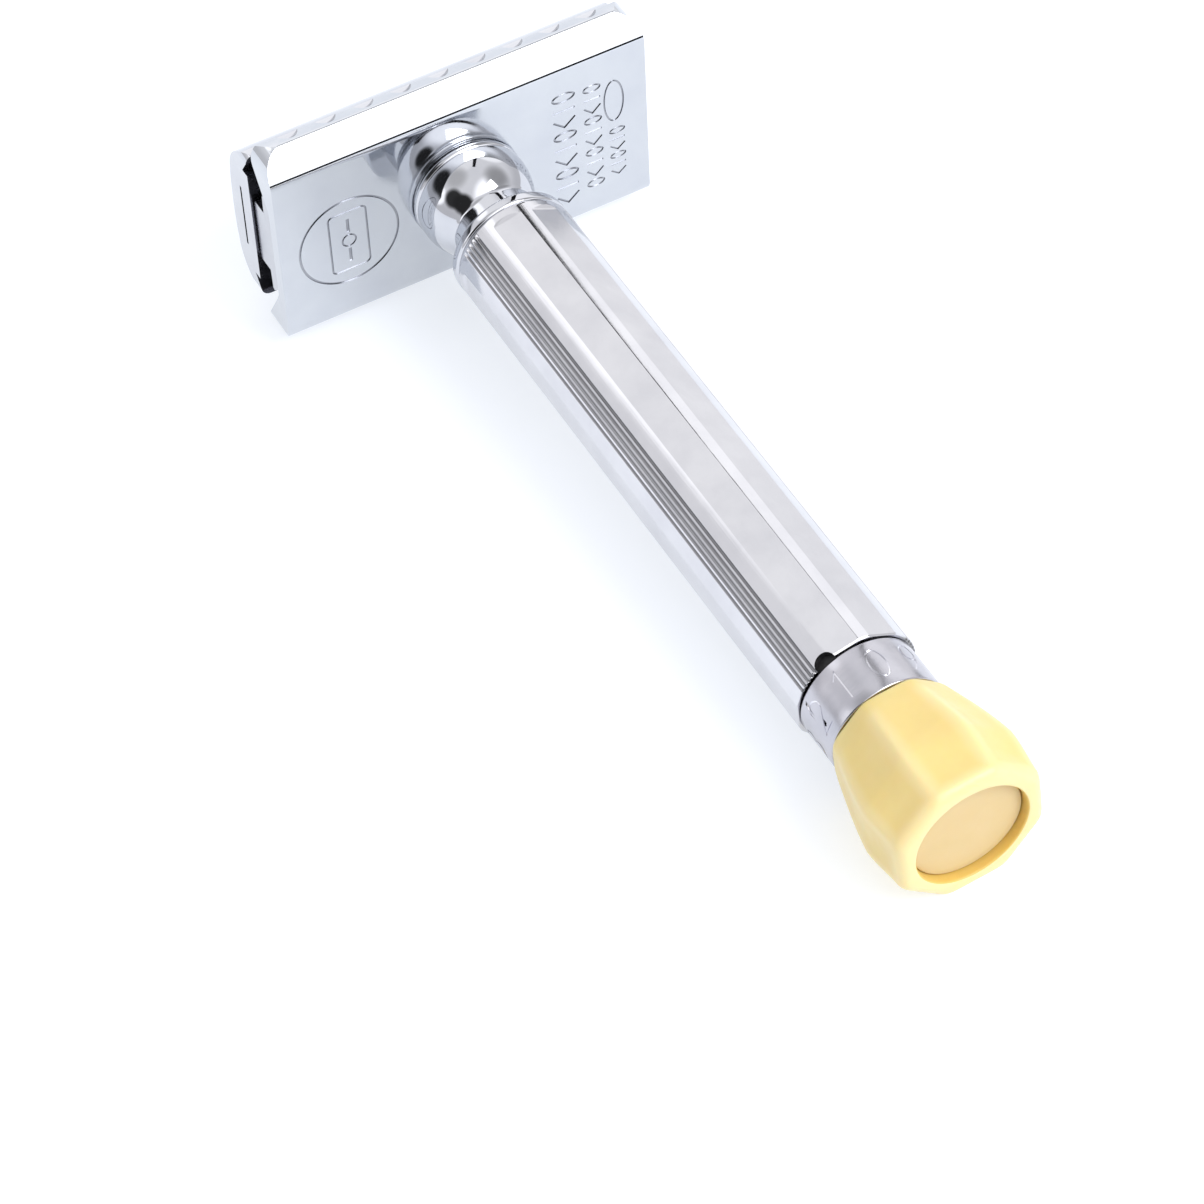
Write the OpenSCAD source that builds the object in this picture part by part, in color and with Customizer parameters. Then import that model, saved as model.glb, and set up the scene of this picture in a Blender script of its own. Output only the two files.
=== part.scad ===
// Adjustable double-edge safety razor, lying on its side.
// Handle axis along Y (knob at -Y, cap at +Y), blade edges along X, +Z up.
// Origin on the handle axis, at the handle-facing underside of the base plate. Millimetres.
// Every part is drawn upright (z is the height up the handle axis) and laid down by lay().

/* [Head] */
// Length of the head along the blade edges
head_length = 42; // [41:0.5:44]
// Width of the head across the two safety bars
head_width = 25.8; // [25.2:0.2:26.4]
// Height of the cap's crown above the base plate's underside
cap_crown = 10.6; // [10.2:0.1:11.2]
// Number of scallops along each safety bar
scallop_count = 9; // [6:1:12]
// Depth of each scallop
scallop_depth = 0.55; // [0.3:0.05:0.7]

/* [Handle] */
// Outer radius of the handle tube over its ridges
tube_radius = 6.45; // [6.3:0.05:6.8]
// Distance of the wide flats from the handle axis
flat_apothem = 6.26; // [6.15:0.01:6.35]
// Number of grooves in each ribbed group
groove_count = 5; // [3:1:7]
// Depth of the pointer notch in the tube's lower end
notch_depth = 0.7; // [0.4:0.1:0.9]

/* [Knob] */
// Number of facets round the knob
facet_count = 8; // [6:1:12]
// Distance of the facets from the axis at the knob's widest level
facet_apothem = 7.95; // [7.7:0.05:8.2]
// Depth of the recess in the knob's end
recess_depth = 1.0; // [0.6:0.1:1.4]

/* [Mechanism] */
// Radius of the cap's threaded stud over its thread crests
stud_radius = 2.0; // [1.9:0.05:2.05]
// Turns in the spring under the blade lifter
lifter_spring_turns = 3.5; // [2.5:0.5:4]
// Turns in the friction spring round the spindle
friction_spring_turns = 6; // [4:1:8]

/* [Hidden] */

eps = 0.01;
fine = 96;

// Head levels, measured up the handle axis
half_length = head_length / 2;
half_width = head_width / 2;
flank_foot = half_width - 2.5;
bar_tip_z = 2.6;
bar_crest_z = 4.7;
bar_crest = half_width - 1.9;
floor_z = 1.4;
floor_half = 5.6;
corner_radius = 2.8;
plate_bore = 5.45;

// Cap
cap_half = 9.7;
cap_edge_z = 5.9;
cap_ceiling_z = 7.0;
cap_shoulder_radius = 4.95;
cap_crown_radius = 46;
cap_corner_radius = 1.0;
flange_half = 7.2;
flange_thickness = 1.2;
lip_width = 0.85;

// Neck
neck_foot_z = -9.2;
cavity_radius = 4.95;
cavity_floor_z = -4.0;
spigot_radius = 3.4;
spigot_foot_z = -14.1;
stud_bore = 2.2;
guide_offset = 3.1;

// Handle
collar_foot_z = -10.5;
tube_top_z = -10.55;
tube_foot_z = -76.1;
tube_bore = 5.2;
flats_top_z = -12.2;
upper_bush_foot_z = -20;
lower_bush_top_z = -69.5;
lower_bush_foot_z = -75.9;
bush_radius = tube_bore - 0.02;
mirror_angle = -83;
flat_spread = 19;
groove_step = 5;
groove_radius = 0.26;

// Knob and spindle
spindle_radius = 3.0;
spindle_top_z = -14.5;
spindle_foot_z = -87.5;
thread_floor_z = -30;
shoulder_top_z = -27.5;
running_gap = 0.06;
dial_top_z = -76.25;
dial_foot_z = -81.85;
dial_radius = 6.08;
knob_top_z = -81.9;
knob_wide_z = -90.4;
knob_foot_z = -96.1;
knob_top_radius = 6.3;
knob_top_apothem = 6.05;
knob_wide_radius = 8.55;
knob_rim_radius = 7.9;
knob_rim_apothem = 7.5;
facet_phase = -49.5;
insert_top_z = -82.3;
insert_foot_z = -91.0;
plug_seat_z = knob_foot_z + recess_depth + 1.2;

// Spring wire
lifter_wire = 0.35;
lifter_coil = 4.35;
friction_wire = 0.4;
friction_coil = 3.95;

// Colours
chrome = [0.78, 0.79, 0.82];
satin = [0.66, 0.67, 0.72];
steel = [0.6, 0.6, 0.62];
brass = [0.8, 0.65, 0.35];
cream = [0.97, 0.87, 0.55];
pale_cream = [0.96, 0.85, 0.66];

// Lays an upright part down: local z becomes +Y
module lay() {
    rotate([-90, 0, 0]) children();
}

// Round bar between two levels
module rod(radius, from_z, to_z) {
    translate([0, 0, min(from_z, to_z)]) cylinder(r = radius, h = abs(to_z - from_z), $fn = fine);
}

// Tube between two levels
module tube(outer, inner, from_z, to_z) {
    difference() {
        rod(outer, from_z, to_z);
        rod(inner, min(from_z, to_z) - eps, max(from_z, to_z) + eps);
    }
}

// Rectangular plan of the head with rounded corners
module head_plan(length_half, width_half, radius) {
    difference() {
        square([2 * length_half, 2 * width_half], center = true);
        for (sx = [-1, 1], sy = [-1, 1]) {
            translate([sx * (length_half - radius), sy * (width_half - radius)])
                difference() {
                    translate([sx > 0 ? 0 : -2 * radius, sy > 0 ? 0 : -2 * radius])
                        square(2 * radius);
                    circle(r = radius, $fn = fine);
                }
        }
    }
}

// Extrudes a section drawn as (across, up) along the blade edges
module along_edges(length) {
    translate([-length / 2, 0, 0])
        rotate([90, 0, 90]) linear_extrude(height = length) children();
}

// Coil spring of round wire wound as rings joined by their common envelope
module coil(coil_radius, wire, from_z, to_z, turns) {
    steps = 14;
    total = round(turns * steps);
    rise = (to_z - from_z - 2 * wire) / total;
    for (i = [0 : total - 1]) {
        hull() {
            for (k = [i, i + 1]) {
                rotate([0, 0, k * 360 / steps])
                    translate([coil_radius, 0, from_z + wire + k * rise])
                        rotate([90, 0, 0]) cylinder(r = wire, h = eps, center = true, $fn = 8);
            }
        }
    }
}

// ---- Head ----

module plate_section() {
    polygon([
        [-flank_foot, 0], [flank_foot, 0], [half_width, bar_tip_z], [bar_crest, bar_crest_z],
        [bar_crest - 0.6, bar_crest_z - 0.1], [floor_half + 1, floor_z + 0.5], [floor_half, floor_z],
        [-floor_half, floor_z], [-floor_half - 1, floor_z + 0.5],
        [-bar_crest + 0.6, bar_crest_z - 0.1], [-bar_crest, bar_crest_z], [-half_width, bar_tip_z]
    ]);
}

module scallops() {
    margin = 4.2;
    pitch = (head_length - 2 * margin) / (scallop_count - 1);
    cutter = 1.3;
    face_tilt = atan2(half_width - bar_crest, bar_crest_z - bar_tip_z);
    out = cutter - scallop_depth;
    for (side = [0, 180], i = [0 : scallop_count - 1]) {
        rotate([0, 0, side])
            translate([-half_length + margin + i * pitch, (half_width + bar_crest) / 2,
                (bar_tip_z + bar_crest_z) / 2])
                rotate([face_tilt, 0, 0])
                    translate([0, out, 0]) cylinder(r = cutter, h = 9, center = true, $fn = fine);
    }
}

module base_plate() {
    color(chrome) lay() difference() {
        intersection() {
            along_edges(head_length) plate_section();
            linear_extrude(height = bar_crest_z + 1)
                head_plan(half_length, half_width, corner_radius);
        }
        rod(plate_bore, -1, floor_z + 1);
        // Countersink around the neck's bead
        translate([0, 0, -eps])
            cylinder(r1 = plate_bore + 0.76, r2 = plate_bore, h = 0.35, $fn = fine);
        scallops();
    }
}

module cap_section() {
    shoulder = cap_half - cap_shoulder_radius;
    intersection() {
        union() {
            translate([-shoulder, cap_edge_z]) square([2 * shoulder, cap_crown]);
            for (side = [-1, 1]) {
                translate([side * shoulder, cap_crown - 0.33 - cap_shoulder_radius])
                    circle(r = cap_shoulder_radius, $fn = fine);
            }
        }
        translate([0, cap_crown - cap_crown_radius]) circle(r = cap_crown_radius, $fn = 720);
        translate([-cap_half, cap_edge_z]) square([2 * cap_half, cap_crown]);
    }
}

module cap_hollow_section() {
    lip = cap_half - lip_width;
    polygon([[-lip, cap_edge_z - 1], [lip, cap_edge_z - 1], [lip, cap_edge_z],
        [flange_half, cap_ceiling_z], [-flange_half, cap_ceiling_z], [-lip, cap_edge_z]]);
}

module cap() {
    slit_depth = 0.8;
    color(chrome) lay() difference() {
        intersection() {
            along_edges(head_length) cap_section();
            linear_extrude(height = cap_crown + 1)
                head_plan(half_length, cap_half, cap_corner_radius);
        }
        difference() {
            along_edges(head_length + 2) cap_hollow_section();
            for (side = [-1, 1]) {
                translate([side * (half_length - flange_thickness / 2), 0, cap_ceiling_z])
                    cube([flange_thickness, 2 * flange_half, 2 * (cap_ceiling_z - cap_edge_z)], center = true);
            }
        }
        for (side = [-1, 1]) {
            translate([side * half_length, 0, 8.1]) cube([2 * slit_depth, 8, 0.35], center = true);
        }
        rod(stud_radius + 0.02, cap_ceiling_z - 1, cap_ceiling_z + 2.2);
        for (side = [-1, 1]) {
            translate([side * guide_offset, 0, 0]) rod(0.77, cap_ceiling_z - 1, cap_ceiling_z + 1.6);
        }
    }
}

module cap_stud() {
    foot_z = -21.5;
    thread_pitch = 1.0;
    thread_depth = 0.18;
    color(steel) lay() difference() {
        rod(stud_radius, foot_z, cap_ceiling_z + 2.15);
        for (z = [foot_z + 0.6 : thread_pitch : spigot_foot_z + 1]) {
            translate([0, 0, z]) rotate_extrude($fn = fine)
                polygon([[stud_radius - thread_depth, 0], [stud_radius + 0.1, -0.3],
                    [stud_radius + 0.1, 0.3]]);
        }
    }
}

module cap_locating_posts() {
    color(steel) lay() for (side = [-1, 1]) {
        translate([side * guide_offset, 0, 0]) rod(0.75, -6.5, cap_ceiling_z + 1.55);
    }
}

module lifter_section() {
    rail = 4.0;
    polygon([[-5.2, 1.6], [5.2, 1.6], [6.6, 3.1], [6.4, 3.4], [rail, 3.5], [rail, 5.4],
        [rail - 0.3, 5.55], [-rail + 0.3, 5.55], [-rail, 5.4], [-rail, 3.5], [-6.4, 3.4], [-6.6, 3.1]]);
}

module blade_lifter() {
    color(satin) lay() difference() {
        along_edges(head_length - 0.6) lifter_section();
        rod(stud_bore + 0.05, 0, 8);
        for (side = [-1, 1]) {
            translate([side * guide_offset, 0, 0]) rod(0.83, 0, 8);
            translate([0, side * guide_offset, 0]) rod(0.62, 0, 4.2);
        }
    }
}

module lifter_guide_pins() {
    color(steel) lay() for (side = [-1, 1]) {
        translate([0, side * guide_offset, 0]) rod(0.6, -6.5, 4.15);
    }
}

module lifter_spring() {
    color(steel) lay() coil(lifter_coil, lifter_wire, cavity_floor_z + 0.03, 1.57, lifter_spring_turns);
}

// ---- Neck and handle ----

module neck() {
    bead_z = -0.5;
    bulb_z = -1.9;
    bulb_radius = 6.1;
    waist = 4.45;
    color(chrome) lay() difference() {
        union() {
            rod(plate_bore - 0.03, floor_z, -1.6);
            // Thin bead against the base plate
            rotate_extrude($fn = fine) {
                translate([5.66, bead_z]) circle(r = 0.44, $fn = 48);
                square([5.66, 0.94]);
            }
            // Round bulb running down into a waisted cone
            intersection() {
                translate([0, 0, bulb_z]) sphere(r = bulb_radius, $fn = 128);
                translate([0, 0, -4.6]) cube([20, 20, 7.4], center = true);
            }
            rod(waist, -6.2, neck_foot_z);
            rod(spigot_radius, neck_foot_z + 1, spigot_foot_z);
        }
        // Clears the bead and the bulb away above the base plate's underside
        tube(8, plate_bore - 0.03, -eps, 2);
        rod(cavity_radius, cavity_floor_z, 3);
        rod(stud_bore, spigot_foot_z - 1, 3);
        for (side = [-1, 1]) {
            translate([side * guide_offset, 0, 0]) rod(0.81, -7.6, 0);
            translate([0, side * guide_offset, 0]) rod(0.66, -7.6, 0);
        }
    }
}

module handle_collar() {
    edge = 0.55;
    color(chrome) lay() difference() {
        rotate_extrude($fn = fine) {
            square_top = neck_foot_z - collar_foot_z;
            translate([0, collar_foot_z]) square([6.5 - edge, square_top]);
            translate([6.5 - edge, neck_foot_z - edge]) circle(r = edge, $fn = 48);
            translate([6.5 - edge, collar_foot_z + edge]) circle(r = edge, $fn = 48);
            translate([0, collar_foot_z + edge]) square([6.5, square_top - 2 * edge]);
        }
        rod(spigot_radius + 0.03, collar_foot_z - 1, neck_foot_z + 1);
    }
}

module tube_section() {
    first = -(groove_count - 1) / 2 * groove_step;
    difference() {
        circle(r = tube_radius, $fn = 180);
        for (third = [0 : 120 : 240]) {
            for (side = [-1, 1]) {
                rotate(mirror_angle + third + side * flat_spread)
                    translate([flat_apothem, -4]) square([2, 8]);
            }
            for (i = [0 : groove_count - 1]) {
                rotate(mirror_angle + 60 + third + first + i * groove_step)
                    translate([tube_radius, 0]) circle(r = groove_radius, $fn = 32);
            }
        }
    }
}

module handle_tube() {
    color(satin) lay() difference() {
        union() {
            translate([0, 0, tube_foot_z])
                linear_extrude(height = flats_top_z - tube_foot_z) tube_section();
            rod(tube_radius - 0.1, flats_top_z, tube_top_z);
        }
        rod(tube_bore, tube_foot_z - 1, tube_top_z + 1);
        // Pointer notch over the dial
        rotate([0, 0, -122]) translate([tube_radius, 0, tube_foot_z])
            rotate([0, 90, 0]) cylinder(r = 1.05, h = 2 * notch_depth, center = true, $fn = 48);
    }
}

module upper_bush() {
    color(brass) lay() difference() {
        rod(bush_radius, tube_top_z, upper_bush_foot_z);
        rod(spigot_radius + 0.03, -14.3, 0);
        rod(spindle_radius + running_gap, -40, 0);
    }
}

module lower_bush() {
    color(brass) lay() tube(bush_radius, spindle_radius + running_gap, lower_bush_top_z, lower_bush_foot_z);
}

module friction_spring() {
    color(steel) lay()
        coil(friction_coil, friction_wire, shoulder_top_z + 0.03, upper_bush_foot_z - 0.03,
            friction_spring_turns);
}

module thrust_washer() {
    color(pale_cream) lay() tube(4.8, spindle_radius + 0.1, -76.0, -76.5);
}

// ---- Knob and spindle ----

module spindle() {
    color(steel) lay() difference() {
        union() {
            rod(spindle_radius, spindle_top_z, spindle_foot_z);
            rod(4.5, shoulder_top_z, shoulder_top_z - 1);
        }
        rod(stud_radius + running_gap, thread_floor_z, spindle_top_z + 1);
        rod(1.3, -80.5, spindle_foot_z - 1);
        // Groove for the retaining clip
        tube(4, 2.5, -69.45, -68.65);
        // Keyway for the dial
        translate([spindle_radius, 0, -79.2]) cube([1.64, 1.04, 4.04], center = true);
    }
}

module retaining_clip() {
    color(steel) lay() difference() {
        tube(4.4, 2.56, -69.4, -68.7);
        translate([0, -5, -69.05]) cube([4.2, 10, 2], center = true);
    }
}

module dial_ring() {
    color(satin) lay() difference() {
        rod(dial_radius, dial_top_z, dial_foot_z);
        rod(spindle_radius + 0.02, dial_foot_z - 1, dial_top_z + 1);
        rod(5.0, dial_top_z - 0.3, dial_top_z + 1);
        translate([spindle_radius, 0, -79.2]) cube([1.64, 1.04, 4.04], center = true);
    }
}

module dial_key() {
    color(steel) lay() translate([spindle_radius, 0, -79.2]) cube([1.6, 1, 4], center = true);
}

module knob() {
    flare = atan2(facet_apothem - knob_top_apothem, knob_top_z - knob_wide_z);
    tuck = atan2(facet_apothem - knob_rim_apothem, knob_wide_z - knob_foot_z);
    color(cream) lay() difference() {
        rotate_extrude($fn = fine)
            polygon([[0, knob_top_z], [knob_top_radius, knob_top_z], [6.9, knob_top_z - 1.2],
                [knob_wide_radius, knob_wide_z], [knob_rim_radius, knob_foot_z],
                [0, knob_foot_z]]);
        for (i = [0 : facet_count - 1]) {
            rotate([0, 0, facet_phase + i * 360 / facet_count]) {
                // Flaring facet above the widest level
                translate([facet_apothem, -8, knob_wide_z])
                    rotate([0, -flare, 0]) translate([0, 0, -3]) cube([6, 16, 16]);
                // Tucked-in facet below it
                translate([facet_apothem, -8, knob_wide_z])
                    rotate([0, tuck, 0]) translate([0, 0, -12]) cube([6, 16, 14]);
            }
        }
        rod(spindle_radius + 0.1, insert_top_z - 1, knob_top_z + 1);
        translate([0, 0, insert_foot_z])
            cylinder(r = 4.33, h = insert_top_z - insert_foot_z, $fn = 6);
        rod(3.3, insert_foot_z + 0.5, plug_seat_z - 0.5);
        rod(5.83, knob_foot_z - 1, plug_seat_z);
    }
}

module knob_insert() {
    color(brass) lay() difference() {
        translate([0, 0, insert_foot_z + 0.02])
            cylinder(r = 4.3, h = insert_top_z - insert_foot_z - 0.04, $fn = 6);
        rod(spindle_radius + 0.02, -87.6, knob_top_z + 1);
        rod(1.35, insert_foot_z - 1, -80);
    }
}

module knob_screw() {
    color(steel) lay() difference() {
        union() {
            rod(1.25, -81.5, -91.6);
            rod(2.6, -91.55, -93.2);
        }
        translate([0, 0, -93.2]) cylinder(r = 1.2, h = 2.4, center = true, $fn = 6);
    }
}

module screw_washer() {
    color(steel) lay() tube(3.1, 1.32, -91.03, -91.5);
}

module knob_plug() {
    color(pale_cream) lay() rod(5.78, knob_foot_z + recess_depth, plug_seat_z - 0.03);
}

base_plate();
neck();
handle_collar();
handle_tube();
upper_bush();
lower_bush();
friction_spring();
thrust_washer();
lifter_spring();
spindle();
retaining_clip();
dial_ring();
dial_key();
knob();
knob_insert();
knob_screw();
screw_washer();
knob_plug();
blade_lifter();
lifter_guide_pins();
cap();
cap_stud();
cap_locating_posts();
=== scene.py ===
"""Safety razor lying on its side on a pale studio floor.

Pieces are built in millimetres in the part's own frame (X along the blade
edges, +Y up the handle, Z across) and scaled to metres when they become meshes.
"""

import math

import bmesh
import bpy
from mathutils import Matrix, Vector


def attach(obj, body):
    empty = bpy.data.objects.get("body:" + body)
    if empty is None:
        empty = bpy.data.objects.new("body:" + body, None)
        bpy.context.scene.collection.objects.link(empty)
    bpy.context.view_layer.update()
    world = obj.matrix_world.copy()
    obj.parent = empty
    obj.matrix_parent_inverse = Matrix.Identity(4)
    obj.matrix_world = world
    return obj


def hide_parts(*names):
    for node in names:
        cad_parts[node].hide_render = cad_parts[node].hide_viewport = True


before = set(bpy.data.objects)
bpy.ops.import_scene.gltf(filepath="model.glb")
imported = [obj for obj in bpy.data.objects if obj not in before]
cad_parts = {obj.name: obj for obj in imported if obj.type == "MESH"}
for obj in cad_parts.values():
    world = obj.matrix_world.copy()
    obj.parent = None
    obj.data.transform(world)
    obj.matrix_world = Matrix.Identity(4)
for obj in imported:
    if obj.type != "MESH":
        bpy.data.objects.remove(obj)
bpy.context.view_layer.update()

MM = 0.001
TAU = 2 * math.pi

# ---- Main dimensions, in mm and degrees ----
HALF_LENGTH = 21.0
HALF_WIDTH = 12.9
PLATE_CORNER = 2.8
CAP_HALF = 9.7
CAP_CORNER = 1.0
CAP_TOP, CROWN_RADIUS = 10.6, 46
TUBE_TOP, TUBE_FOOT = -10.56, -76.1
TUBE_RADIUS = 6.45
FLAT_APOTHEM = 6.26
FLAT_ANGLES = (64, 102, 184, 222, 304, 342)
RIB_ANGLES = (23, 143, 263)
NOTCH_ANGLE = 122
DIAL_TOP, DIAL_FOOT, DIAL_RADIUS = -76.25, -81.85, 6.08
KNOB_TOP, KNOB_FOOT = -81.9, -96.1
FACET_PHASE = 50.2
KNOB_WIDE = -90.4
RECESS_RADIUS, RECESS_FLOOR = 5.83, -95.1
PLUG_RADIUS, PLUG_SEAT = 5.74, -93.9
INSERT_RADIUS, INSERT_TOP, INSERT_FOOT = 4.33, -82.3, -90.5
SPINDLE_BORE, SCREW_BORE = 3.1, 3.3
SCALLOP_COUNT, SCALLOP_PITCH, SCALLOP_RADIUS = 9, 4.2, 1.6
SCALLOP_LEAN = 21
SECTION_STEPS = 192
BEAD_RADIUS = 0.44
BULB_RADIUS, BULB_CENTRE = 6.1, -1.9
COLLAR_RADIUS = 6.5
STUD_BORE = 2.2
PIN_OFFSET = 3.1
POST_BORE, PIN_BORE = 0.81, 0.66
GROOVE_RADIUS = 0.17
FLOOR_SLOPE = 3.12
BUMP_DEPTH = 0.04


# ---- Mesh helpers ----

def make(name, verts, faces, material, smooth_deg=32, weld=False):
    """A mesh object from millimetre vertices, smooth except at real edges."""
    mesh = bpy.data.meshes.new(name)
    mesh.from_pydata([[c * MM for c in v] for v in verts], [], faces)
    bm = bmesh.new()
    bm.from_mesh(mesh)
    if weld:
        bmesh.ops.remove_doubles(bm, verts=bm.verts, dist=1e-7)
    bmesh.ops.recalc_face_normals(bm, faces=bm.faces)
    bm.to_mesh(mesh)
    bm.free()
    obj = bpy.data.objects.new(name, mesh)
    bpy.context.scene.collection.objects.link(obj)
    if material:
        mesh.materials.append(material)
    soften(obj, smooth_deg)
    return obj


def soften(obj, smooth_deg):
    """Smooth shading, with edges sharper than the angle left sharp."""
    mesh = obj.data
    mesh.polygons.foreach_set("use_smooth", [True] * len(mesh.polygons))
    mesh.set_sharp_from_angle(angle=math.radians(smooth_deg))
    mesh.update()


def settle_normals(obj, smooth_deg=30):
    """Smooth shading led by the large faces, so that flats stay flat."""
    soften(obj, smooth_deg)
    mod = obj.modifiers.new("normals", "WEIGHTED_NORMAL")
    mod.keep_sharp = True
    mod.weight = 100
    bake(obj)


def bake(obj):
    """Replaces the mesh with the result of its modifiers."""
    graph = bpy.context.evaluated_depsgraph_get()
    mesh = bpy.data.meshes.new_from_object(obj.evaluated_get(graph))
    obj.modifiers.clear()
    obj.data = mesh


def combine(obj, cutter, operation, keep_material=False):
    """Boolean of two closed meshes; the cutter is used up.

    A result that has lost most of the mesh is reported and undone.
    """
    mod = obj.modifiers.new("cut", "BOOLEAN")
    mod.object = cutter
    mod.operation = operation
    mod.solver = "EXACT"
    mod.use_self = True
    if keep_material:
        mod.material_mode = "TRANSFER"
    before = obj.data
    bake(obj)
    if len(obj.data.polygons) < 0.6 * len(before.polygons):
        print("boolean lost the mesh of", obj.name, "cut by", cutter.name)
        obj.data = before
    bpy.data.objects.remove(cutter, do_unlink=True)


def round_edges(obj, width, angle):
    """Bevels the edges that are sharper than the angle."""
    mod = obj.modifiers.new("edge", "BEVEL")
    mod.width = width * MM
    mod.segments = 2
    mod.limit_method = "ANGLE"
    mod.angle_limit = math.radians(angle)
    mod.harden_normals = False
    mod.miter_outer = "MITER_ARC"
    bake(obj)
    bm = bmesh.new()
    bm.from_mesh(obj.data)
    bmesh.ops.remove_doubles(bm, verts=bm.verts, dist=2e-7)
    bm.to_mesh(obj.data)
    bm.free()


def fillet(points, radii, steps):
    """Rounds the corners of a closed outline."""
    out = []
    count = len(points)
    for i, (point, radius) in enumerate(zip(points, radii)):
        p = Vector(point)
        a = Vector(points[i - 1]) - p
        b = Vector(points[(i + 1) % count]) - p
        if radius <= 0:
            out.append((p.x, p.y))
            continue
        a_dir, b_dir = a.normalized(), b.normalized()
        half = a_dir.angle(b_dir) / 2
        reach = min(radius / math.tan(half), 0.48 * a.length, 0.48 * b.length)
        radius = reach * math.tan(half)
        centre = p + (a_dir + b_dir).normalized() * (radius / math.sin(half))
        start = p + a_dir * reach - centre
        end = p + b_dir * reach - centre
        turn = math.atan2(start.x * end.y - start.y * end.x, start.dot(end))
        for k in range(steps + 1):
            t = turn * k / steps
            x = start.x * math.cos(t) - start.y * math.sin(t)
            y = start.x * math.sin(t) + start.y * math.cos(t)
            out.append((centre.x + x, centre.y + y))
    return out


def skin(rows, count, first=0, closed=False):
    """Quads between rings of points; closed joins the last to the first, else both are capped."""
    faces = []
    for s in range(rows if closed else rows - 1):
        low, high = first + s * count, first + (s + 1) % rows * count
        for i in range(count):
            j = (i + 1) % count
            faces.append((low + i, low + j, high + j, high + i))
    if not closed:
        last = first + (rows - 1) * count
        faces += [tuple(range(first, first + count)), tuple(range(last, last + count))]
    return faces


def prism_x(name, outline, x_low, x_high, material=None):
    """A section drawn as (z, y) pairs run along X."""
    verts = [(x, y, z) for x in (x_low, x_high) for z, y in outline]
    return make(name, verts, skin(2, len(outline)), material)


def prism_y(name, outline, y_low, y_high):
    """A plan drawn as (x, z) pairs run along Y."""
    verts = [(x, y, z) for y in (y_low, y_high) for x, z in outline]
    return make(name, verts, skin(2, len(outline)), None)


def drill(obj, x, z, radius, y_low, y_high, steps):
    """Cuts a round hole that runs parallel to the handle axis."""
    plan = [(x + radius * math.cos(TAU * k / steps), z + radius * math.sin(TAU * k / steps))
            for k in range(steps)]
    combine(obj, prism_y("hole", plan, y_low, y_high), "DIFFERENCE")


def rounded_plan(half_x, half_z, radius, steps):
    corners = [(half_x, half_z), (-half_x, half_z), (-half_x, -half_z), (half_x, -half_z)]
    return fillet(corners, [radius] * 4, steps)


def lathe(name, profile, material, steps=SECTION_STEPS, smooth_deg=32, closed=True):
    """Revolves (radius, y) points around the handle axis."""
    verts, faces = [], []
    count = len(profile)
    for k in range(steps):
        a = TAU * k / steps
        verts += [(r * math.cos(a), y, r * math.sin(a)) for r, y in profile]
    last = count if closed else count - 1
    for k in range(steps):
        n = (k + 1) % steps
        for i in range(last):
            j = (i + 1) % count
            quad = [k * count + i, k * count + j, n * count + j, n * count + i]
            if profile[i][0] < 1e-6:
                quad.remove(n * count + i)
            if profile[j][0] < 1e-6:
                quad.remove(n * count + j)
            if len(quad) > 2:
                faces.append(quad)
    return make(name, verts, faces, material, smooth_deg, weld=True)


def bow(cx, cy, half_x, half_y, start_deg, end_deg, steps):
    """Points along part of an ellipse."""
    points = []
    for k in range(steps + 1):
        a = math.radians(start_deg + (end_deg - start_deg) * k / steps)
        points.append((cx + half_x * math.cos(a), cy + half_y * math.sin(a)))
    return points


def arc(cx, cy, radius, start_deg, end_deg, steps):
    return bow(cx, cy, radius, radius, start_deg, end_deg, steps)


def loop(cx, cy, half_x, half_y, steps):
    """Points round a closed ellipse."""
    return bow(cx, cy, half_x, half_y, 0, 360, steps)[:-1]


def smooth_step(low, high, value):
    """Nought at low, one at high; low may be above high."""
    t = min(1.0, max(0.0, (value - low) / (high - low)))
    return t * t * (3 - 2 * t)


def soft_min(values, softness):
    """The smallest value, rounded off where two values are nearly equal."""
    low = min(values)
    return low - softness * math.log(sum(math.exp(-(v - low) / softness) for v in values))


class Strokes:
    """Gathers ribbons of constant width into one cutter for engraving."""

    def __init__(self, place, low, high):
        self.place, self.low, self.high = place, low, high
        self.verts, self.faces = [], []

    def add(self, points, width, closed=False):
        points = [Vector(p) for p in points]
        count = len(points)
        first = len(self.verts)
        for i, p in enumerate(points):
            before = points[i - 1] if (i or closed) else None
            after = points[(i + 1) % count] if (i < count - 1 or closed) else None
            d1 = (p - before).normalized() if before is not None else None
            d2 = (after - p).normalized() if after is not None else None
            d1, d2 = d1 or d2, d2 or d1
            normal = Vector((-(d1.y + d2.y), d1.x + d2.x)).normalized()
            grow = 1 / max(0.45, normal.dot(Vector((-d1.y, d1.x))))
            side = normal * (width / 2 * grow)
            for u, v, h in ((p.x + side.x, p.y + side.y, self.high),
                            (p.x - side.x, p.y - side.y, self.high),
                            (p.x - side.x, p.y - side.y, self.low),
                            (p.x + side.x, p.y + side.y, self.low)):
                self.verts.append(self.place(u, v, h))
        spans = count if closed else count - 1
        for i in range(spans):
            a, b = first + 4 * i, first + 4 * ((i + 1) % count)
            for k in range(4):
                m = (k + 1) % 4
                self.faces.append((a + k, a + m, b + m, b + k))
        if not closed:
            end = first + 4 * (count - 1)
            self.faces += [(first, first + 1, first + 2, first + 3),
                           (end + 3, end + 2, end + 1, end)]

    def cutter(self, name, material=None):
        return make(name, self.verts, self.faces, material)


# ---- Materials ----

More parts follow.
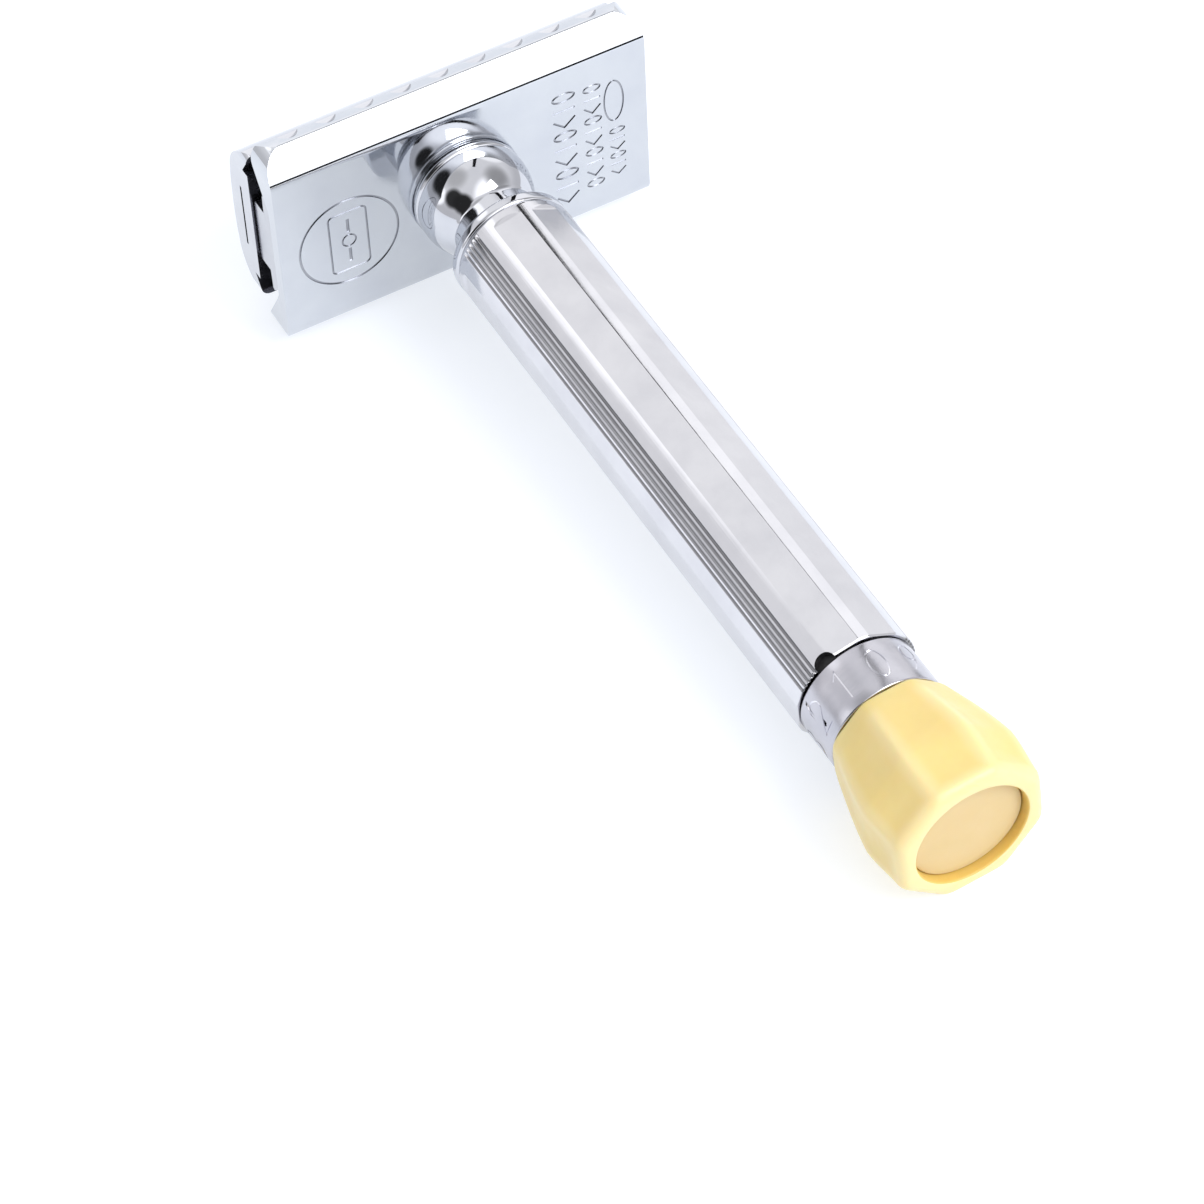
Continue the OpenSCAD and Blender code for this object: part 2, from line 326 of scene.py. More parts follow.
class Graph:
    """Short-hand for building a node tree."""

    def __init__(self, name):
        self.material = bpy.data.materials.new(name)
        self.material.use_nodes = True
        self.tree = self.material.node_tree
        self.tree.nodes.clear()
        self.out = self.add("ShaderNodeOutputMaterial")
        self.shader = self.add("ShaderNodeBsdfPrincipled")
        self.link(self.shader, "BSDF", self.out, "Surface")
        self.coords = self.add("ShaderNodeTexCoord")

    def add(self, kind, **values):
        node = self.tree.nodes.new(kind)
        for key, value in values.items():
            setattr(node, key, value)
        return node

    def link(self, source, output, target, socket):
        self.tree.links.new(source.outputs[output], target.inputs[socket])

    def noise(self, scale, stretch=(1, 1, 1), detail=3, rough=0.55):
        mapping = self.add("ShaderNodeMapping")
        mapping.inputs["Scale"].default_value = stretch
        self.link(self.coords, "Object", mapping, "Vector")
        noise = self.add("ShaderNodeTexNoise")
        noise.inputs["Scale"].default_value = scale
        noise.inputs["Detail"].default_value = detail
        noise.inputs["Roughness"].default_value = rough
        self.link(mapping, "Vector", noise, "Vector")
        return noise

    def scale_range(self, node, output, low, high, to_low, to_high):
        remap = self.add("ShaderNodeMapRange")
        remap.inputs["From Min"].default_value = low
        remap.inputs["From Max"].default_value = high
        remap.inputs["To Min"].default_value = to_low
        remap.inputs["To Max"].default_value = to_high
        self.link(node, output, remap, "Value")
        return remap

    def mix_colour(self, factor, output, first, second):
        mix = self.add("ShaderNodeMix", data_type="RGBA")
        mix.inputs["A"].default_value = (*first, 1)
        mix.inputs["B"].default_value = (*second, 1)
        self.link(factor, output, mix, "Factor")
        return mix

    def mix_value(self, node, output, other, factor, factor_output):
        """Blends a node's value towards a number."""
        mix = self.add("ShaderNodeMix")
        mix.inputs["B"].default_value = other
        self.link(node, output, mix, "A")
        self.link(factor, factor_output, mix, "Factor")
        return mix

    def calc(self, operation, *terms):
        """A sum on one or two terms, each a number or a (node, output) pair."""
        node = self.add("ShaderNodeMath", operation=operation)
        for i, term in enumerate(terms):
            if isinstance(term, tuple):
                self.link(*term, node, i)
            else:
                node.inputs[i].default_value = term
        return node, "Value"

    def bump(self, *sources):
        """Chains several height sources, each (node, output, strength)."""
        previous = None
        for node, output, amount in sources:
            bump = self.add("ShaderNodeBump")
            bump.inputs["Strength"].default_value = amount
            bump.inputs["Distance"].default_value = BUMP_DEPTH * MM
            self.link(node, output, bump, "Height")
            if previous:
                self.link(previous, "Normal", bump, "Normal")
            previous = bump
        self.link(previous, "Normal", self.shader, "Normal")


def polished_zone(g):
    """One on the flanks and beside the neck, nought on the satin underside."""
    parts = g.add("ShaderNodeSeparateXYZ")
    g.link(g.coords, "Object", parts, "Vector")
    across = g.calc("ABSOLUTE", (parts, "Z"))
    flank = g.scale_range(*across, 9.5 * MM, 10.3 * MM, 0.0, 1.0)
    squares = []
    for distance, centre, reach in (((parts, "X"), -5.5, 7.0), (across, 8.5, 3.0)):
        offset = g.calc("SUBTRACT", distance, centre * MM)
        squares.append(g.calc("POWER", g.calc("DIVIDE", offset, reach * MM), 2))
    patch = g.scale_range(*g.calc("ADD", *squares), 0.75, 1.1, 1.0, 0.0)
    return g.calc("MAXIMUM", (flank, "Result"), (patch, "Result"))


def metal(name, colour, dark, rough, rough_spread, brush=None, brush_strength=0.0,
          bump_strength=0.05, spots=0.0, lands=None, polish=None):
    """Metal with soft smudges, fine scratches and, if wanted, a brushed grain.

    With lands given, two mesh attributes make the convex strips glossier
    and paint shade into the bottoms of the grooves. With polish given,
    the polished zone takes that roughness.
    """
    g = Graph(name)
    s = g.shader
    s.inputs["Metallic"].default_value = 1.0
    smudge = g.noise(170, detail=4)
    tone = g.scale_range(smudge, "Fac", 0.35, 0.7, 0.0, 1.0)
    base = g.mix_colour(tone, "Result", colour, dark)
    scratch = g.noise(2600, (1.0, 0.04, 1.0), detail=2)
    scratch_b = g.noise(2400, (0.05, 1.0, 0.7), detail=2)
    haze = g.noise(420, detail=5, rough=0.7)
    spread = g.scale_range(haze, "Fac", 0.3, 0.75, rough - rough_spread, rough + rough_spread)
    if polish is not None:
        spread = g.mix_value(spread, "Result", polish, *polished_zone(g))
    if lands is not None:
        # Painted shade: the bottoms of the rib grooves are greyed by their depth
        groove_shade = g.add("ShaderNodeAttribute", attribute_name="groove_shade")
        groove_shaded = g.mix_colour(groove_shade, "Fac", colour, (0.22, 0.22, 0.23))
        g.link(base, "Result", groove_shaded, "A")
        base = groove_shaded
        land = g.add("ShaderNodeAttribute", attribute_name="land")
        spread = g.mix_value(spread, "Result", lands, land, "Fac")
    g.link(base, "Result", s, "Base Color")
    g.link(spread, "Result", s, "Roughness")
    sources = [(scratch, "Fac", bump_strength), (scratch_b, "Fac", bump_strength * 0.7)]
    if brush:
        grain = g.noise(5200, brush, detail=3, rough=0.7)
        sources.append((grain, "Fac", brush_strength))
    if spots:
        pits = g.noise(1500, detail=2)
        sources.append((pits, "Fac", spots))
    g.bump(*sources)
    return g.material


def plastic(name, colour, deep, rough, subsurface, scatter, coat=0.0, ridge_highlight=None):
    """Cloudy, slightly translucent plastic; a mesh attribute can pale it as a painted highlight.
    """
    g = Graph(name)
    s = g.shader
    clouds = g.noise(190, detail=3)
    tone = g.scale_range(clouds, "Fac", 0.35, 0.7, 0.0, 1.0)
    base = g.mix_colour(tone, "Result", colour, deep)
    if ridge_highlight:
        highlight_mask = g.add("ShaderNodeAttribute", attribute_name="ridge_highlight")
        pale = g.mix_colour(highlight_mask, "Fac", colour, ridge_highlight)
        g.link(base, "Result", pale, "A")
        base = pale
    g.link(base, "Result", s, "Base Color")
    haze = g.noise(700, detail=5, rough=0.7)
    spread = g.scale_range(haze, "Fac", 0.3, 0.75, rough - 0.06, rough + 0.08)
    g.link(spread, "Result", s, "Roughness")
    s.inputs["Subsurface Weight"].default_value = subsurface
    s.inputs["Subsurface Radius"].default_value = (1.0, 0.62, 0.22)
    s.inputs["Subsurface Scale"].default_value = scatter
    s.inputs["IOR"].default_value = 1.49
    s.inputs["Coat Weight"].default_value = coat
    s.inputs["Coat Roughness"].default_value = 0.22
    grain = g.noise(2300, detail=4, rough=0.6)
    wave = g.noise(320, detail=2)
    g.bump((grain, "Fac", 0.10), (wave, "Fac", 0.16))
    return g.material


def dusty_black(name, colour):
    g = Graph(name)
    s = g.shader
    dust = g.noise(2200, detail=4)
    tone = g.scale_range(dust, "Fac", 0.4, 0.75, 0.0, 1.0)
    base = g.mix_colour(tone, "Result", colour, tuple(min(1, c * 1.8 + 0.01) for c in colour))
    g.link(base, "Result", s, "Base Color")
    spread = g.scale_range(dust, "Fac", 0.3, 0.7, 0.45, 0.65)
    g.link(spread, "Result", s, "Roughness")
    g.bump((dust, "Fac", 0.2))
    return g.material


CHROME = metal("polished_chrome", (0.64, 0.65, 0.68), (0.58, 0.59, 0.63), 0.06, 0.02,
               bump_strength=0.010)
PLATE_CHROME = metal("plate_chrome", (0.64, 0.66, 0.69), (0.60, 0.62, 0.66), 0.14, 0.04,
                     bump_strength=0.018, polish=0.045)
ENGRAVED = metal("engraved_chrome", (0.40, 0.41, 0.44), (0.30, 0.31, 0.34), 0.22, 0.06,
                 bump_strength=0.05)
SATIN = metal("satin_chrome", (0.69, 0.69, 0.715), (0.62, 0.62, 0.65), 0.22, 0.05,
              brush=(1.0, 0.02, 1.0), brush_strength=0.10, bump_strength=0.03, lands=0.09)
DIAL_SATIN = metal("dial_chrome", (0.58, 0.57, 0.61), (0.47, 0.47, 0.51), 0.23, 0.05,
                   brush=(0.12, 1.0, 0.12), brush_strength=0.12, bump_strength=0.04)
DIAL_MARK = metal("dial_engraving", (0.86, 0.86, 0.89), (0.72, 0.72, 0.76), 0.20, 0.06,
                  bump_strength=0.06)
# Dark chrome that paints shade into the hollows and undersides of the head
SHADE_CHROME = metal("chrome_painted_shade", (0.21, 0.21, 0.24), (0.14, 0.14, 0.165), 0.28, 0.08,
                     bump_strength=0.04)
LIFTER_STEEL = metal("lifter_chrome", (0.60, 0.61, 0.64), (0.50, 0.51, 0.55), 0.20, 0.06,
                     brush=(0.03, 1.0, 1.0), brush_strength=0.06, bump_strength=0.03)
STEEL = metal("turned_steel", (0.52, 0.52, 0.54), (0.40, 0.40, 0.42), 0.30, 0.08,
              brush=(0.3, 1.0, 0.3), brush_strength=0.12, bump_strength=0.05)
SPRING = metal("spring_wire", (0.42, 0.42, 0.44), (0.30, 0.30, 0.32), 0.33, 0.08,
               bump_strength=0.06, spots=0.06)
BRASS = metal("brass", (0.78, 0.60, 0.28), (0.62, 0.44, 0.18), 0.28, 0.08,
              brush=(0.3, 1.0, 0.3), brush_strength=0.12, bump_strength=0.05)
# The pale ridge colour is a painted highlight on the knob's ridges and rim
CREAM = plastic("cream_plastic", (0.81, 0.64, 0.25), (0.78, 0.60, 0.22), 0.38, 0.45, 0.0025,
                0.15, ridge_highlight=(0.83, 0.69, 0.35))
# A deeper, darker cream, painted shade in the knob's recess
RECESS_SHADE_CREAM = plastic("recess_plastic_painted_shade", (0.72, 0.50, 0.13), (0.68, 0.46, 0.11), 0.45, 0.3, 0.0015)
PALE_CREAM = plastic("plug_plastic", (0.67, 0.51, 0.26), (0.64, 0.48, 0.23), 0.50, 0.3, 0.0015)
NYLON = plastic("washer_nylon", (0.86, 0.84, 0.76), (0.80, 0.77, 0.68), 0.5, 0.3, 0.001)
# Flat black on the faces of the pointer notch
BLACK = dusty_black("notch_black", (0.006, 0.006, 0.007))


def fit(obj, body, slot, *nodes):
    """Ties a piece to its body and hides the nodes it stands for. The slot is not used."""
    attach(obj, body)
    if nodes:
        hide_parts(*nodes)


# ---- Head: base plate ----

def plate_outline():
    corners = [(-10.4, 0), (10.4, 0), (12.9, 2.6), (12.0, 4.7), (11.0, 4.6), (6.6, 1.9),
               (5.6, 1.4), (-5.6, 1.4), (-6.6, 1.9), (-11.0, 4.6), (-12.0, 4.7), (-12.9, 2.6)]
    right = [1.6, 0.24, 0.24, 0.15, 0.5, 0.5]
    left = [0.5, 0.5, 0.15, 0.24, 0.24]
    return fillet(corners, [1.6] + right + left, 9)


def scallop_cutter(side):
    """A row of cylinders that lean, so that the scallops fade out before the outer corner."""
    steps, half_run, offset = 72, 4.5, 1.44
    middle_y, middle_z = 3.65, 12.45
    bar_face = math.atan2(0.9, 2.1)
    tilt = bar_face + math.radians(SCALLOP_LEAN)
    verts, faces = [], []
    for i in range(SCALLOP_COUNT):
        x = SCALLOP_PITCH * (i - (SCALLOP_COUNT - 1) / 2)
        faces += skin(2, steps, len(verts))
        for end in (-half_run, half_run):
            for u, v in loop(0, offset, SCALLOP_RADIUS, SCALLOP_RADIUS, steps):
                y = middle_y + end * math.cos(tilt) + v * math.sin(tilt)
                z = middle_z - end * math.sin(tilt) + v * math.cos(tilt)
                verts.append((x + u, y, side * z))
    # The cylinders carry the dark chrome, so the scallop dips get painted shade
    return make("scallops", verts, faces, SHADE_CHROME)


def build_plate():
    plate = prism_x("base_plate_body", plate_outline(), -HALF_LENGTH, HALF_LENGTH, PLATE_CHROME)
    combine(plate, prism_y("plan", rounded_plan(HALF_LENGTH, HALF_WIDTH, PLATE_CORNER, 10), -1, 6),
            "INTERSECT")
    for side in (-1, 1):
        combine(plate, scallop_cutter(side), "DIFFERENCE", True)
    seat = [(0, -1), (6.22, -1), (6.22, 0), (5.46, 0.35), (5.46, 3), (0, 3)]
    bore = lathe("bore", seat, None, 96, closed=False)
    combine(plate, bore, "DIFFERENCE")
    round_edges(plate, 0.07, 38)
    engrave_plate(plate)
    # Painted shade on the plate's inner slope, under the cap
    paint_shade_inside(plate, lambda c, n: n.y > 0.5 and 0.5 < c.y < 4.58 and abs(c.z) < 10.4)
    settle_normals(plate)
    fit(plate, "handle", "chrome", "base_plate")


def engrave_plate(plate):
    strokes = Strokes(lambda u, v, h: (u, h, v), -0.2, 0.10)
    cx, cz = -13.3, -0.6
    strokes.add(loop(cx, cz, 5.5, 5.5, 72), 0.26, True)
    # Plain pictogram of a slotted double-edge blade
    strokes.add(fillet([(cx - 2.1, cz - 3.9), (cx + 2.1, cz - 3.9), (cx + 2.1, cz + 3.9),
                        (cx - 2.1, cz + 3.9)], [0.5] * 4, 4), 0.22, True)
    strokes.add(loop(cx, cz, 0.75, 0.75, 20), 0.2, True)
    for side in (-1, 1):
        strokes.add([(cx, cz + side * 1.1), (cx, cz + side * 2.9)], 0.34)
    ornament_rows(strokes)
    combine(plate, strokes.cutter("strokes", ENGRAVED), "DIFFERENCE", True)


def ornament_rows(strokes):
    """Three rows of a repeating ring, bar and chevron border, and an oval."""
    rows = ((11.5, 2.5, 6.7, -8.0, 1.75, 0.24), (14.75, 1.9, 6.4, -8.0, 1.45, 0.21),
            (17.45, 1.7, -0.6, -7.1, 1.15, 0.19))
    for x, tall, z_from, z_to, step, width in rows:
        count = int((z_from - z_to) / step)
        for k in range(count + 1):
            z = z_from - k * step
            half = tall / 2
            if k % 3 == 0:
                strokes.add(loop(x, z, half, step * 0.3, 18), width, True)
            elif k % 3 == 1:
                strokes.add([(x - half, z), (x + half, z)], width)
            else:
                strokes.add([(x - half, z + step * 0.3), (x, z - step * 0.3),
                             (x + half, z + step * 0.3)], width)
    strokes.add(loop(17.2, 3.6, 1.1, 2.7, 36), 0.2, True)


# ---- Head: cap and lifter ----

def crown(z):
    """Height of the cap's shallow crown at a distance from the middle."""
    return CAP_TOP - CROWN_RADIUS + math.sqrt(CROWN_RADIUS ** 2 - z * z)


def cap_outline():
    shoulder = 4.95
    cx = CAP_HALF - shoulder
    cy = CAP_TOP - 0.33 - shoulder
    right = [(CAP_HALF, 5.9)]
    for k in range(19):
        a = math.radians(5 * k)
        y = cy + shoulder * math.sin(a)
        if y > 5.95:
            z = cx + shoulder * math.cos(a)
            right.append((z, min(y, crown(z))))
    top = [(cx * (1 - k / 8), crown(cx * (1 - k / 8))) for k in range(1, 16)]
    left = [(-z, y) for z, y in reversed(right)]
    return right + top + left


def paint_shade_inside(obj, inside):
    """Gives the faces that the test picks a dark chrome, as painted shade where little light
    reaches.
    """
    if SHADE_CHROME.name not in obj.data.materials:
        obj.data.materials.append(SHADE_CHROME)
    index = obj.data.materials.find(SHADE_CHROME.name)
    for face in obj.data.polygons:
        if inside(face.center / MM, face.normal):
            face.material_index = index


def build_cap():
    cap = prism_x("cap_body", cap_outline(), -HALF_LENGTH, HALF_LENGTH, CHROME)
    combine(cap, prism_y("plan", rounded_plan(HALF_LENGTH, CAP_HALF, CAP_CORNER, 8), 4, 12),
            "INTERSECT")
    inner = HALF_LENGTH - 1.2
    hollow = [(-7.2, 5.0), (7.2, 5.0), (7.2, 7.0), (-7.2, 7.0)]
    combine(cap, prism_x("hollow", hollow, -inner, inner), "DIFFERENCE")
    for side in (-1, 1):
        slope = [(side * 8.85, 4.0), (side * 8.85, 5.9), (side * 7.19, 7.0), (side * 7.19, 4.0)]
        combine(cap, prism_x("slope", slope, -30, 30), "DIFFERENCE")
        slit = [(-4, 7.925), (4, 7.925), (4, 8.275), (-4, 8.275)]
        ends = side * (HALF_LENGTH - 0.8), side * (HALF_LENGTH + 1)
        combine(cap, prism_x("slit", slit, min(ends), max(ends)), "DIFFERENCE")
    round_edges(cap, 0.09, 38)
    # Painted shade on the cap's underside, over the blade
    paint_shade_inside(cap, lambda c, n: n.y < -0.5 and c.y < 7.2 and abs(c.z) < 9.6)
    settle_normals(cap)
    fit(cap, "cap", "chrome", "cap")


def build_lifter():
    outline = [(-5.2, 1.6), (5.2, 1.6), (6.6, 3.1), (6.4, 3.4), (4.0, 3.5), (4.0, 5.4),
               (3.7, 5.55), (-3.7, 5.55), (-4.0, 5.4), (-4.0, 3.5), (-6.4, 3.4), (-6.6, 3.1)]
    lifter = prism_x("blade_lifter_body", outline, -20.7, 20.7, LIFTER_STEEL)
    for x, radius, steps in ((0, 2.25, 48), (PIN_OFFSET, 0.83, 24), (-PIN_OFFSET, 0.83, 24)):
        drill(lifter, x, 0, radius, 0, 8, steps)
    round_edges(lifter, 0.12, 24)
    settle_normals(lifter)
    fit(lifter, "lifter", "satin_plating", "blade_lifter")


# ---- Neck and handle ----

def build_neck():
    profile = [(5.42, 1.38), (5.42, -0.10)]
    profile += arc(5.66, -0.5, BEAD_RADIUS, 115, -62, 14)
    profile += arc(0, BULB_CENTRE, BULB_RADIUS, 8.0, -40.5, 30)
    profile += arc(5.36, -6.46, 0.85, 140, 180, 6)
    profile += [(4.51, -7.0), (4.51, -9.2)]
    profile += [(3.4, -9.25), (3.4, -14.0), (3.3, -14.1), (STUD_BORE, -14.1), (STUD_BORE, -4.0),
                (4.95, -4.0), (4.95, 1.38)]
    neck = lathe("neck_body", profile, CHROME, smooth_deg=40)
    holes = ((PIN_OFFSET, 0, POST_BORE), (-PIN_OFFSET, 0, POST_BORE),
             (0, PIN_OFFSET, PIN_BORE), (0, -PIN_OFFSET, PIN_BORE))
    for x, z, radius in holes:
        drill(neck, x, z, radius, -7.6, -3.0, 32)
    soften(neck, 40)
    fit(neck, "handle", "chrome", "neck")


def build_collar():
    top, foot, edge = -9.2, -10.5, 0.36
    profile = [(3.43, top)] + arc(COLLAR_RADIUS - edge, top - edge, edge, 90, 0, 8)
    profile += arc(COLLAR_RADIUS - edge, foot + edge, edge, 0, -90, 8) + [(3.43, foot)]
    collar = lathe("handle_collar_body", profile, CHROME, smooth_deg=40)
    fit(collar, "handle", "chrome", "handle_collar")


def tube_angles():
    """Section angles: dense over edges and ribs, sparse over flats."""
    angles = set()
    reach = math.degrees(math.acos(FLAT_APOTHEM / TUBE_RADIUS))
    for centre in FLAT_ANGLES:
        for d in (-reach - 1.2, -reach - 0.5, -reach - 0.15, -reach + 0.15, -reach + 0.6, -9, -4.5,
                  0, 4.5, 9, reach - 0.6, reach - 0.15, reach + 0.15, reach + 0.5, reach + 1.2):
            angles.add(round((centre + d) % 360, 3))
    for centre in RIB_ANGLES:
        for g in range(-2, 3):
            for d in (-2.5, -1.75, -1.5, -1.25, -0.9, -0.45, 0, 0.45, 0.9, 1.25, 1.5, 1.75):
                angles.add(round((centre + 5 * g + d) % 360, 3))
        angles.add((centre + 12.5) % 360)
    merged = []
    for a in sorted(angles):
        if not merged or a - merged[-1] > 0.12:
            merged.append(a)
    filled = []
    for a, b in zip(merged, merged[1:] + [merged[0] + 360]):
        filled.append(a)
        if 2.9 < b - a < 4.4:
            filled.append((a + b) / 2)
    return filled


def tube_radius(angle, y):
    """Radius of the handle tube: round, with six flats and three ribbed lands."""
    radius = TUBE_RADIUS
    lift = 0.24 * smooth_step(-12.1, -11.2, y)
    for centre in FLAT_ANGLES:
        d = math.radians((angle - centre + 180) % 360 - 180)
        if abs(d) < 0.5:
            radius = min(radius, FLAT_APOTHEM / math.cos(d) + lift)
    fade = smooth_step(-10.9, -11.6, y)
    for centre in RIB_ANGLES:
        for g in range(-2, 3):
            d = (angle - centre - 5 * g + 180) % 360 - 180
            off = abs(math.radians(d)) * TUBE_RADIUS
            if off < GROOVE_RADIUS:
                groove = math.sqrt(GROOVE_RADIUS ** 2 - off * off)
                radius = min(radius, TUBE_RADIUS - fade * groove)
    return radius


def mark_tube(tube):
    """Stores which vertices lie on convex lands, and how deep they sit in a groove for the painted
    groove shade.
    """
    land = tube.data.attributes.new("land", "FLOAT", "POINT")
    groove_shade = tube.data.attributes.new("groove_shade", "FLOAT", "POINT")
    for i, vertex in enumerate(tube.data.vertices):
        x, y, z = (c / MM for c in vertex.co)
        angle = math.degrees(math.atan2(z, x))
        depth = TUBE_RADIUS - math.hypot(x, z)
        flat = any(abs((angle - c + 180) % 360 - 180) < 13.6 for c in FLAT_ANGLES)
        rib = any(abs((angle - c + 180) % 360 - 180) < 12.6 for c in RIB_ANGLES)
        land.data[i].value = 0.0 if flat and y < -11.9 else 1.0
        # Painted groove shade grows with the groove's depth
        groove_shade.data[i].value = smooth_step(0.04, 0.15, depth) if rib else 0.0


def notch_cutter():
    """An upright oval at the tube's foot that leaves the half-round pointer notch."""
    axis = Vector((math.cos(math.radians(NOTCH_ANGLE)), 0, math.sin(math.radians(NOTCH_ANGLE))))
    across = Vector((-axis.z, 0, axis.x))
    verts = []
    for depth in (5.72, 7.5):
        for u, v in loop(0, TUBE_FOOT, 1.08, 1.0, 40):
            p = axis * depth + across * u
            verts.append((p.x, v, p.z))
    return make("notch", verts, skin(2, 40), BLACK)


def build_tube():
    angles = tube_angles()
    levels = [TUBE_TOP, -10.62, -10.75]
    levels += [-10.9 - 0.1 * k for k in range(14)]
    levels += [-13.4, -20, -30, -40, -50, -60, -70, -75.7, -75.95, -76.05, TUBE_FOOT]
    verts = []
    for y in levels:
        inset = max(0.0, 0.10 - (TUBE_TOP - y) * 1.2, 0.12 - (y - TUBE_FOOT) * 1.1)
        for a in angles:
            r = tube_radius(a, y) - inset
            verts.append((r * math.cos(math.radians(a)), y, r * math.sin(math.radians(a))))
    for y in (TUBE_FOOT, TUBE_TOP):
        verts += [(5.2 * math.cos(math.radians(a)), y, 5.2 * math.sin(math.radians(a)))
                  for a in angles]
    faces = skin(len(levels) + 2, len(angles), closed=True)
    tube = make("handle_tube_body", verts, faces, SATIN, 14)
    combine(tube, notch_cutter(), "DIFFERENCE", True)
    soften(tube, 14)
    mark_tube(tube)
    fit(tube, "handle", "tube_plating", "handle_tube")


# ---- Dial ----

def digit_paths(digit):
    """Centre lines of a numeral in a box one wide and 1.6 tall, each with a closed flag."""
    top, low = 1.6, 0.0
    paths = {
        0: [(loop(0.5, 0.8, 0.44, 0.8, 30), True)],
        1: [([(0.20, 1.26), (0.52, top), (0.52, low)], False)],
        2: [(bow(0.5, 1.15, 0.42, 0.45, 165, -35, 14) + [(0.08, low), (0.95, low)], False)],
        3: [(bow(0.46, 1.2, 0.4, 0.4, 150, -60, 12) + bow(0.46, 0.42, 0.46, 0.42, 62, -150, 14),
             False)],
        4: [([(0.98, 0.42), (0.06, 0.42), (0.66, top), (0.66, low)], False)],
        5: [([(0.9, top), (0.2, top), (0.13, 0.88)] + bow(0.46, 0.5, 0.46, 0.5, 115, -150, 14),
             False)],
        6: [(loop(0.5, 0.46, 0.43, 0.46, 24), True),
            ([(0.76, top), (0.34, 1.15), (0.12, 0.66)], False)],
        7: [([(0.06, top), (0.94, top), (0.36, low)], False)],
        8: [(loop(0.5, 1.2, 0.35, 0.38, 22), True),
            (loop(0.5, 0.40, 0.44, 0.42, 24), True)],
        9: [(loop(0.5, 1.14, 0.43, 0.46, 24), True),
            ([(0.24, low), (0.66, 0.45), (0.88, 0.94)], False)],
    }
    return paths[digit]


def build_dial():
    r = DIAL_RADIUS
    profile = [(3.02, DIAL_TOP - 0.3), (5.0, DIAL_TOP - 0.3), (5.0, DIAL_TOP)]
    profile += arc(r - 0.14, DIAL_TOP - 0.14, 0.14, 90, 0, 4)
    profile += [(r, -77.6), (r, -79.2), (r, -80.6)]
    profile += arc(r - 0.18, DIAL_FOOT + 0.18, 0.18, 0, -90, 4) + [(3.02, DIAL_FOOT)]
    dial = lathe("dial_ring_body", profile, DIAL_SATIN)
    size = 2.05
    for k in range(10):
        centre = NOTCH_ANGLE + 36 * k

        def place(u, v, h, centre=centre):
            angle = math.radians(centre) - (u - 0.5) * size * 0.92 / r
            radius = r + h
            y = -79.0 + (v - 0.8) * size
            return (radius * math.cos(angle), y, radius * math.sin(angle))

        for path, closed in digit_paths((k + 1) % 10):
            strokes = Strokes(place, -0.12, 0.2)
            strokes.add(path, 0.17 / size, closed)
            combine(dial, strokes.cutter("digit", DIAL_MARK), "DIFFERENCE", True)
    soften(dial, 30)
    fit(dial, "knob", "satin_plating", "dial_ring")


# ---- Knob ----

def knob_radius(angle, y):
    """Eight soft, hollow-ground facets that flare, then tuck in towards the rim."""
    apothem = 6.05 + 1.92 * smooth_ramp(y, KNOB_TOP, KNOB_WIDE)
    apothem -= 0.42 * smooth_step(-90.6, KNOB_FOOT, y)
    d = (angle - FACET_PHASE + 22.5) % 45 - 22.5
    planes = []
    for side in (-45, 0, 45):
        c = math.cos(math.radians(d + side))
        if c > 0.3:
            planes.append(apothem / c)
    dish = 0.23 * math.cos(math.radians(d * 4)) * smooth_step(-83.0, -87.0, y)
    dish *= smooth_step(-95.4, -93.2, y)
    round_limit = 6.3 + 2.27 * smooth_ramp(y, KNOB_TOP, KNOB_WIDE)
    round_limit -= 0.55 * smooth_step(-90.6, KNOB_FOOT, y)
    return soft_min(planes + [round_limit + 0.12], 0.17) - dish


def smooth_ramp(y, start, end):
    """Nought at start, one at end, with a slope that eases off on the way."""
    t = min(1.0, max(0.0, (y - start) / (end - start)))
    return t * (1.22 - 0.22 * t * t)


def knob_side():
    """Levels down the knob's side, each with how far it is set in by the rounded edges."""
    side = []
    for k in range(7):
        a = math.radians(90 - 15 * k)
        side.append((KNOB_TOP - 0.4 + 0.4 * math.sin(a), 0.4 * (1 - math.cos(a))))
    y = KNOB_TOP - 0.4
    while y > KNOB_FOOT + 1.3:
        y -= 0.32
        side.append((y, 0.0))
    for k in range(1, 10):
        a = math.radians(10 * k)
        side.append((max(KNOB_FOOT, KNOB_FOOT + 1 - math.sin(a)), 1 - math.cos(a)))
    return side


def build_knob():
    steps = 320
    verts = []

    def ring(radius_of, y):
        for k in range(steps):
            a = 360 * k / steps
            r = radius_of(a)
            verts.append((r * math.cos(math.radians(a)), y, r * math.sin(math.radians(a))))

    ring(lambda a: SPINDLE_BORE, KNOB_TOP)
    for y, inset in knob_side():
        ring(lambda a, y=y, inset=inset: knob_radius(a, y) - inset, y)
    bore = arc(RECESS_RADIUS + 0.3, KNOB_FOOT + 0.3, 0.3, 270, 180, 5)
    bore += [(RECESS_RADIUS, RECESS_FLOOR - 0.1), (RECESS_RADIUS, PLUG_SEAT),
             (SCREW_BORE, PLUG_SEAT), (SCREW_BORE, INSERT_FOOT), (INSERT_RADIUS, INSERT_FOOT),
             (INSERT_RADIUS, INSERT_TOP), (SPINDLE_BORE, INSERT_TOP)]
    for radius, y in bore:
        ring(lambda a, radius=radius: radius, y)
    faces = skin(len(verts) // steps, steps, closed=True)
    knob = make("knob_body", verts, faces, CREAM, 50)
    shade_knob(knob)
    fit(knob, "knob", "cream_plastic", "knob")


